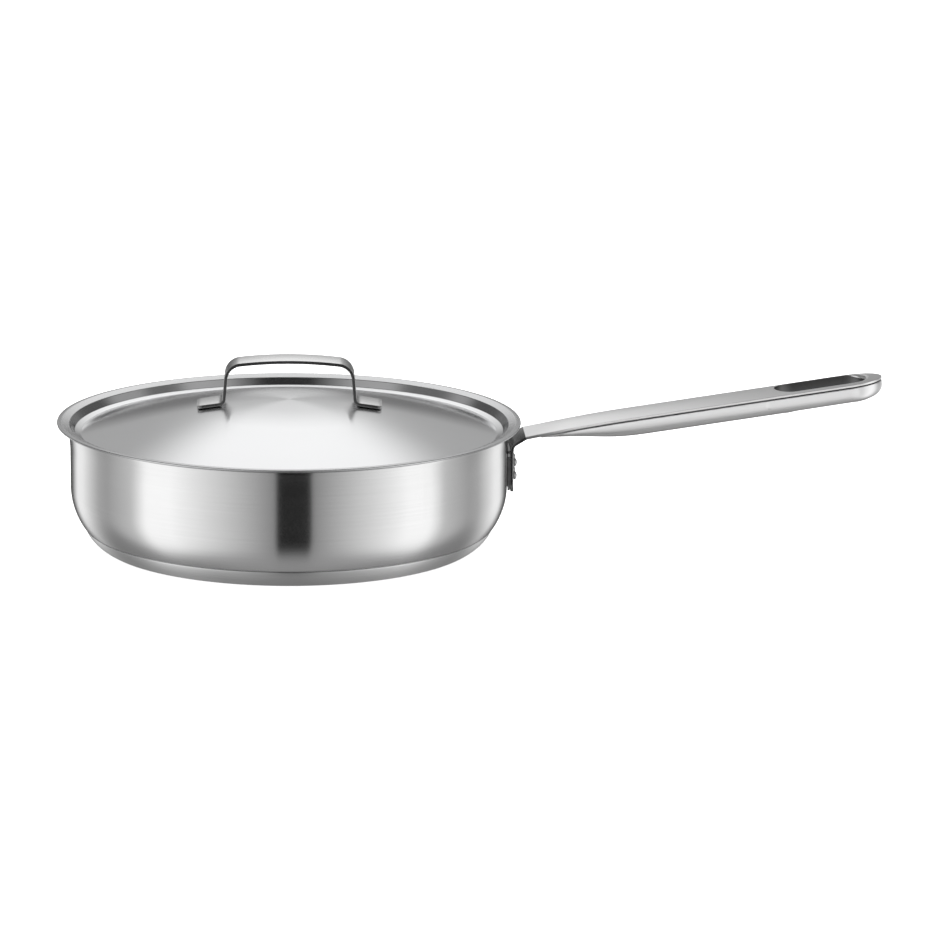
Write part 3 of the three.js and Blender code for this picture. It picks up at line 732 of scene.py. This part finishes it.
def steel(name, way, color, rough, aniso, grain=0.5, rough_swing=0.06, tone=0.06, cool=0.0, bump=0.05, outer=None):
    """Brushed stainless: fine scratches along the brushing, slow cloudiness in tone and gloss, gloss drawn out across the brushing."""
    m = Nodes(name)
    coord = m.new("ShaderNodeTexCoord")
    if way in ("wall", "disc"):
        xyz = m.new("ShaderNodeSeparateXYZ")
        m.link(coord.outputs["Object"], xyz.inputs[0])
        x, y, z = xyz.outputs
        r = m.math("SQRT", m.math("ADD", m.math("MULTIPLY", x, x), m.math("ADD", m.math("MULTIPLY", y, y), 1e-8)))
        cx, cy = m.math("DIVIDE", x, r), m.math("DIVIDE", y, r)
        along = m.math("ADD", z, r) if way == "wall" else m.math("SUBTRACT", r, z)
        vec = m.new("ShaderNodeCombineXYZ")
        m.link(m.math("MULTIPLY", cx, 1.6), vec.inputs[0])
        m.link(m.math("MULTIPLY", cy, 1.6), vec.inputs[1])
        m.link(m.math("MULTIPLY", along, 1500.0), vec.inputs[2])
        fine_vec = vec.outputs[0]
        tangent = m.new("ShaderNodeTangent", direction_type="RADIAL", axis="Z")
        m.bsdf.inputs["Anisotropic Rotation"].default_value = 0.25
    else:
        mapping = m.new("ShaderNodeMapping")
        m.link(coord.outputs["UV"], mapping.inputs["Vector"])
        mapping.inputs["Scale"].default_value = (0.035, 2.2, 1.0)
        fine_vec = mapping.outputs[0]
        tangent = m.new("ShaderNodeTangent", direction_type="UV_MAP", uv_map="UVMap")
        m.bsdf.inputs["Anisotropic Rotation"].default_value = 0.25
    m.link(tangent.outputs[0], m.bsdf.inputs["Tangent"])
    fine = m.new("ShaderNodeTexNoise")
    m.link(fine_vec, fine.inputs["Vector"])
    fine.inputs["Scale"].default_value = 1.0
    fine.inputs["Detail"].default_value = 4.0
    fine.inputs["Roughness"].default_value = 0.65
    slow = m.new("ShaderNodeTexNoise")
    m.link(coord.outputs["Object"], slow.inputs["Vector"])
    slow.inputs["Scale"].default_value = 22.0
    slow.inputs["Detail"].default_value = 3.0
    both = m.math("ADD", m.math("MULTIPLY", fine.outputs["Fac"], grain), m.math("MULTIPLY", slow.outputs["Fac"], 1 - grain))
    swing = m.ramp(both, (0.3, 0.7, rough - rough_swing, rough + rough_swing))
    if outer is not None:
        # finer finish away from the middle
        swing = m.math("MULTIPLY", swing, m.ramp(r, (outer[0] * MM, outer[1] * MM, 1.0, outer[2])))
    m.link(swing, m.bsdf.inputs["Roughness"])
    shade = m.new("ShaderNodeValToRGB")
    m.link(both, shade.inputs[0])
    lo, hi = shade.color_ramp.elements
    lo.position, hi.position = 0.3, 0.7
    lo.color = (color * (1 - tone), color * (1 - tone) * (1 + cool * 0.4), color * (1 - tone) * (1 + cool), 1)
    hi.color = (color * (1 + tone * 0.6), color * (1 + tone * 0.6) * (1 + cool * 0.4), color * (1 + tone * 0.6) * (1 + cool), 1)
    m.link(shade.outputs[0], m.bsdf.inputs["Base Color"])
    b = m.new("ShaderNodeBump")
    b.inputs["Strength"].default_value = bump
    b.inputs["Distance"].default_value = 0.0001
    m.link(fine.outputs["Fac"], b.inputs["Height"])
    m.link(b.outputs[0], m.bsdf.inputs["Normal"])
    m.bsdf.inputs["Metallic"].default_value = 1.0
    m.bsdf.inputs["Anisotropic"].default_value = aniso
    return m.mat


wall_steel = steel("wall_steel", "wall", 0.74, 0.19, 1.0, rough_swing=0.015)
base_steel = steel("base_steel", "wall", 0.74, 0.36, 0.9, rough_swing=0.03)
lid_steel = steel("lid_steel", "disc", 0.73, 0.225, 1.0, grain=0.35, rough_swing=0.015, tone=0.035, cool=0.012, bump=0.02, outer=(28.0, 60.0, 0.6))
rim_finish_and_painted_shade = steel("rim_finish_and_painted_shade", "disc", 0.60, 0.27, 0.3, grain=0.35, rough_swing=0.02, tone=0.035, cool=0.012, bump=0.02)
grip_steel = steel("grip_steel", "long", 0.86, 0.29, 0.9, rough_swing=0.012, tone=0.02, bump=0.02)
# painted shade: a dark steel for the handle's bend and tab
bend_tab_painted_shade = steel("bend_tab_painted_shade", "wall", 0.27, 0.20, 0.0, rough_swing=0.03)
strap_steel = steel("strap_steel", "long", 0.80, 0.24, 0.8, rough_swing=0.03)
rivet_steel = steel("rivet_steel", "wall", 0.40, 0.30, 0.0)
slot_painted_shade = steel("slot_painted_shade", "wall", 0.20, 0.42, 0.0, tone=0.15)
# painted shade: a dark steel for the strap's edges
strap_edge_painted_shade = steel("strap_edge_painted_shade", "wall", 0.34, 0.22, 0.0, rough_swing=0.03)
core_alu = steel("core_aluminium", "disc", 0.70, 0.5, 0.3)


def paint(obj, mat):
    obj.data.materials.clear()
    obj.data.materials.append(mat)


paint(pan_body, wall_steel)
paint(base_cap, base_steel)
paint(lid, lid_steel)
# the flange takes a less brushed steel, and its darker colour is painted shade
lid.data.materials.append(rim_finish_and_painted_shade)
for poly in lid.data.polygons:
    if math.hypot(poly.center.x, poly.center.y) > (LID_KNEE_R - 0.4) * MM:
        poly.material_index = 1
for part in (strap, strap_top):
    paint(part, strap_steel)
    # its cut edges are not brushed, and their darker colour is painted shade
    part.data.materials.append(strap_edge_painted_shade)
    for face in part.data.polygons:
        if abs(face.normal.y) > 0.6:
            face.material_index = 1
paint(plate, grip_steel)
paint(belly, grip_steel)
# painted shade: the inside of the slot gets a dark steel in place of its shadow
plate.data.materials.append(slot_painted_shade)
plate.data.materials.append(bend_tab_painted_shade)
lean_tip = lean_at(SLOT_X1)
BEND_END_X = FOLD_X + 0.1
for face in plate.data.polygons:
    fx_, fy_, fz_ = (c / MM for c in face.center)
    h_ = (fz_ - edge_z(fx_)) * math.cos(lean_tip)
    along = fx_ + math.sin(lean_tip) * h_
    gap = math.hypot(along - min(max(along, SLOT_X0), SLOT_X1), fy_)
    # faces inside the slot take the painted shade
    if SLOT_X0 - 20 < along < SLOT_X1 + 20 and gap < SLOT_HALF + 0.06 and h_ < 1.2:
        face.material_index = 1
    elif fx_ < BEND_END_X:
        # the bend and the tab are left unbrushed, and their dark colour is painted shade
        face.material_index = 2
# the rivets and the backing plate take a dark, unbrushed steel; the dark colour is painted shade
for o in bpy.data.objects:
    if o.name.startswith("rivet_") and o.name.endswith("_look"):
        paint(o, rivet_steel)
paint(frame["nodes"]["base_core"], core_alu)
paint(frame["nodes"]["handle_backing_plate"], rivet_steel)

# ---------------------------------------------------------------- floor, light, camera
bpy.ops.mesh.primitive_plane_add(size=40.0, location=(0, 0, 0))
floor = bpy.context.object
floor.name = "floor"
fm = Nodes("floor_paper")
grainy = fm.new("ShaderNodeTexNoise")
fm.link(fm.new("ShaderNodeTexCoord").outputs["Object"], grainy.inputs["Vector"])
grainy.inputs["Scale"].default_value = 3.0
tint = fm.new("ShaderNodeValToRGB")
fm.link(grainy.outputs["Fac"], tint.inputs[0])
tint.color_ramp.elements[0].color = (0.90, 0.90, 0.90, 1)
tint.color_ramp.elements[1].color = (0.92, 0.92, 0.92, 1)
fm.link(tint.outputs[0], fm.bsdf.inputs["Base Color"])
fm.bsdf.inputs["Roughness"].default_value = 0.9
fm.bsdf.inputs["Emission Color"].default_value = (1, 1, 1, 1)
fm.bsdf.inputs["Emission Strength"].default_value = 0.75
fm.bsdf.inputs["Specular IOR Level"].default_value = 0.1
paint(floor, fm.mat)
floor.visible_glossy = False

world = bpy.data.worlds.new("studio")
bpy.context.scene.world = world
world.use_nodes = True
wt = world.node_tree
wt.nodes.clear()


def wn(kind, **settings):
    node = wt.nodes.new(kind)
    for key, value in settings.items():
        setattr(node, key, value)
    return node


def wmath(op, a, b=None, clamp=False):
    node = wn("ShaderNodeMath", operation=op, use_clamp=clamp)
    for i, v in enumerate((a, b)):
        if v is None:
            continue
        if isinstance(v, (int, float)):
            node.inputs[i].default_value = v
        else:
            wt.links.new(v, node.inputs[i])
    return node.outputs[0]


def wramp(value, stops):
    """A curve through (position 0 to 1, brightness up to 2) stops."""
    node = wn("ShaderNodeValToRGB")
    node.color_ramp.interpolation = "LINEAR"
    els = node.color_ramp.elements
    while len(els) > 1:
        els.remove(els[-1])
    els[0].position = stops[0][0]
    els[0].color = (stops[0][1] / 2,) * 3 + (1,)
    for p, v in stops[1:]:
        e = els.new(p)
        e.color = (v / 2,) * 3 + (1,)
    wt.links.new(value, node.inputs[0])
    return wmath("MULTIPLY", node.outputs[0], 2.0)


def wmix(t, a, b):
    return wmath("ADD", wmath("MULTIPLY", wmath("SUBTRACT", 1.0, t), a), wmath("MULTIPLY", t, b))


def wstep(value, a, b):
    node = wn("ShaderNodeMapRange", interpolation_type="SMOOTHSTEP")
    node.inputs["From Min"].default_value = a
    node.inputs["From Max"].default_value = b
    wt.links.new(value, node.inputs["Value"])
    return node.outputs[0]


direction = wn("ShaderNodeTexCoord").outputs["Generated"]
sep = wn("ShaderNodeSeparateXYZ")
wt.links.new(direction, sep.inputs[0])
dx, dy, dz = sep.outputs
# the dark gap at the front stands a little to the right, the panels at the sides are even
around = wmath("ARCTAN2", dx, wmath("MULTIPLY", dy, -1.0))
shift = wmath("MULTIPLY", wmath("SUBTRACT", 1.0, wstep(wmath("ABSOLUTE", around), math.radians(20), math.radians(80))), math.radians(2.35))
shift = wmath("SUBTRACT", shift, wmath("MULTIPLY", wstep(around, math.radians(50), math.radians(85)), math.radians(1.6)))
azimuth = wmath("ABSOLUTE", wmath("SUBTRACT", around, shift))
elev = wmath("ARCSINE", dz)
# the panels lean outwards towards their feet
below = wmath("MINIMUM", wmath("MAXIMUM", wmath("SUBTRACT", math.radians(-13), elev), 0.0), math.radians(50))
az = wmath("DIVIDE", wmath("MULTIPLY", azimuth, wmath("SUBTRACT", 1.0, wmath("MULTIPLY", below, 0.17))), math.pi)
# plain panels round the set: dark gap at the front, soft box at each side, grey flag, second soft box, dark behind
RING = [(0, 0.0), (8.5, 0.0), (9.5, 0.3), (65, 1.3), (80, 1.3), (90, 0.7), (110, 0.45), (118, 0.5), (138, 1.1), (147, 1.1), (160, 0.1), (180, 0.1)]
ring = wramp(az, [(a / 180, v) for a, v in RING])
# the same panels above eye height
ABOVE = [(0, 0.0), (20, 0.0), (50, 0.5), (80, 0.5), (84, 0.15), (110, 0.15), (117, 0.4), (124, 0.4), (131, 0.1), (180, 0.1)]
above = wramp(az, [(a / 180, v) for a, v in ABOVE])
lift = wmath("MULTIPLY", wstep(azimuth, math.radians(86), math.radians(93)), math.radians(24))
up = wstep(wmath("ADD", elev, lift), math.radians(18), math.radians(38))
overhead = wmath("SUBTRACT", 1.0, wmath("MULTIPLY", wstep(elev, math.radians(52), math.radians(74)), 0.70))
sides = wmath("MULTIPLY", wmix(up, ring, above), overhead)
# behind, the low part is dark, the middle grey and the upper part bright
off_back = wmath("ABSOLUTE", wmath("SUBTRACT", wmath("ARCTAN2", dx, dy), math.radians(1.0)))
behind = wmath("SUBTRACT", 1.0, wstep(off_back, math.radians(16), math.radians(26)))
height = wmath("ADD", wmath("DIVIDE", elev, math.pi), 0.5)
BACK = [(-90, 0.1), (-4, 0.1), (6, 0.2), (13, 0.45), (24, 0.5), (50, 0.5), (66, 0.3), (90, 0.1)]
back_v = wramp(height, [(0.5 + e / 180, v) for e, v in BACK])
# a soft panel in front above eye height, which lights the far sides
front = wmath("MULTIPLY", wstep(elev, math.radians(12), math.radians(20)), wmath("SUBTRACT", 1.0, wstep(elev, math.radians(40), math.radians(58))))
front = wmath("MULTIPLY", front, wmath("SUBTRACT", 1.0, wstep(azimuth, math.radians(30), math.radians(60))))
sides = wmix(front, sides, 0.62)
upper = wmix(behind, sides, back_v)
# the table under the set, which comes up higher at the sides
drop = wmath("MULTIPLY", wstep(azimuth, math.radians(95), math.radians(120)), math.radians(22))
table = wmath("SUBTRACT", 1.0, wstep(wmath("SUBTRACT", elev, drop), math.radians(-60), math.radians(-38)))
table_v = wmix(wstep(azimuth, math.radians(60), math.radians(100)), 0.36, 0.24)
value = wmix(table, upper, table_v)
bg = wn("ShaderNodeBackground")
rgb = wn("ShaderNodeCombineColor")
for k in range(3):
    wt.links.new(value, rgb.inputs[k])
wt.links.new(rgb.outputs[0], bg.inputs["Color"])
bg.inputs["Strength"].default_value = 1.0
wt.links.new(bg.outputs[0], wn("ShaderNodeOutputWorld").inputs[0])


def area(name, loc, target, size, power):
    light = bpy.data.lights.new(name, "AREA")
    light.shape = "RECTANGLE"
    light.size, light.size_y = size
    light.energy = power
    obj = bpy.data.objects.new(name, light)
    bpy.context.scene.collection.objects.link(obj)
    obj.location = loc
    obj.rotation_mode = "QUATERNION"
    obj.rotation_quaternion = (Vector(target) - Vector(loc)).to_track_quat("-Z", "Y")
    obj.visible_camera = False
    return obj


fill = area("floor_fill", (0, 0, 4.0), (0, 0, 0), (7, 7), 340)
fill.visible_glossy = False


def card(name, centre, size, stand, glow, fades, round_from=None, flare=None):
    """A glowing panel that only reflections see; it fades out towards the given sides, or all round."""
    bpy.ops.mesh.primitive_plane_add(size=1.0)
    obj = bpy.context.object
    obj.name = name
    obj.scale = (size[0], size[1], 1.0)
    obj.rotation_euler = stand
    obj.location = centre
    m = Nodes(name)
    m.tree.nodes.remove(m.bsdf)
    at = m.new("ShaderNodeSeparateXYZ")
    m.link(m.new("ShaderNodeTexCoord").outputs["Object"], at.inputs[0])
    cover = None
    for axis, start, end in fades:
        f = m.new("ShaderNodeMapRange", interpolation_type="SMOOTHSTEP")
        f.inputs["From Min"].default_value = start
        f.inputs["From Max"].default_value = end
        m.link(at.outputs[axis], f.inputs["Value"])
        cover = f.outputs[0] if cover is None else m.math("MULTIPLY", cover, f.outputs[0])
    if round_from is not None:
        x, y = at.outputs[0], at.outputs[1]
        if flare is not None:
            g = m.new("ShaderNodeMapRange")
            for socket, v in zip(("From Min", "From Max", "To Min", "To Max"), flare):
                g.inputs[socket].default_value = v
            m.link(y, g.inputs["Value"])
            x = m.math("DIVIDE", x, g.outputs[0])
        out = m.math("MULTIPLY", m.math("SQRT", m.math("ADD", m.math("MULTIPLY", x, x), m.math("MULTIPLY", y, y))), 2.0)
        f = m.new("ShaderNodeMapRange", interpolation_type="SMOOTHSTEP")
        f.inputs["From Min"].default_value = 1.0
        f.inputs["From Max"].default_value = round_from
        m.link(out, f.inputs["Value"])
        cover = f.outputs[0]
    shine = m.new("ShaderNodeEmission")
    shine.inputs["Strength"].default_value = glow
    mix = m.new("ShaderNodeMixShader")
    m.link(cover, mix.inputs[0])
    m.link(m.new("ShaderNodeBsdfTransparent").outputs[0], mix.inputs[1])
    m.link(shine.outputs[0], mix.inputs[2])
    m.link(mix.outputs[0], m.out.inputs[0])
    paint(obj, m.mat)
    obj.visible_camera = False
    obj.visible_diffuse = False
    obj.visible_shadow = False
    return obj


UPRIGHT = (math.pi / 2, 0, 0)
# low on the right, in front of the grip
card("card_right", (0.286, -0.13, 0.059), (0.272, 0.086), UPRIGHT, 1.2, [(0, -0.5, -0.42), (0, 0.5, 0.40), (1, -0.5, -0.1)])
# high behind the pan
card("card_back", (0.0, 1.0, 1.1), (1.60, 2.0), UPRIGHT, 1.27, [], round_from=0.45, flare=(-0.30, 0.0, 0.41, 0.68))
# a grey flag behind the outer half of the grip
card("flag_grip", (0.35, 0.25, 0.40), (0.44, 0.60), UPRIGHT, 0.42, [(0, -0.5, 0.12)])

CAM = dict(D=2200.0, el=13.029, yaw=2.9034, pitch=12.954, roll=0.692, F=3651.2)
el, yaw, pitch, roll = (math.radians(CAM[k]) for k in ("el", "yaw", "pitch", "roll"))
f = Vector((math.sin(yaw) * math.cos(pitch), math.cos(yaw) * math.cos(pitch), -math.sin(pitch)))
r0 = Vector((math.cos(yaw), -math.sin(yaw), 0))
u0 = r0.cross(f)
right = r0 * math.cos(roll) + u0 * math.sin(roll)
up = u0 * math.cos(roll) - r0 * math.sin(roll)
cam_data = bpy.data.cameras.new("camera")
cam_data.sensor_width = 36.0
cam_data.sensor_fit = "HORIZONTAL"
cam_data.lens = CAM["F"] / 940 * 36.0
cam_data.clip_start, cam_data.clip_end = 0.05, 100
camera = bpy.data.objects.new("camera", cam_data)
bpy.context.scene.collection.objects.link(camera)
place = Matrix((right, up, -f)).transposed().to_4x4()
place.translation = Vector((0, -CAM["D"] * math.cos(el), 40 + CAM["D"] * math.sin(el))) * MM
camera.matrix_world = place
bpy.context.scene.camera = camera
bpy.context.scene.view_settings.view_transform = "Standard"
bpy.context.scene.view_settings.look = "None"
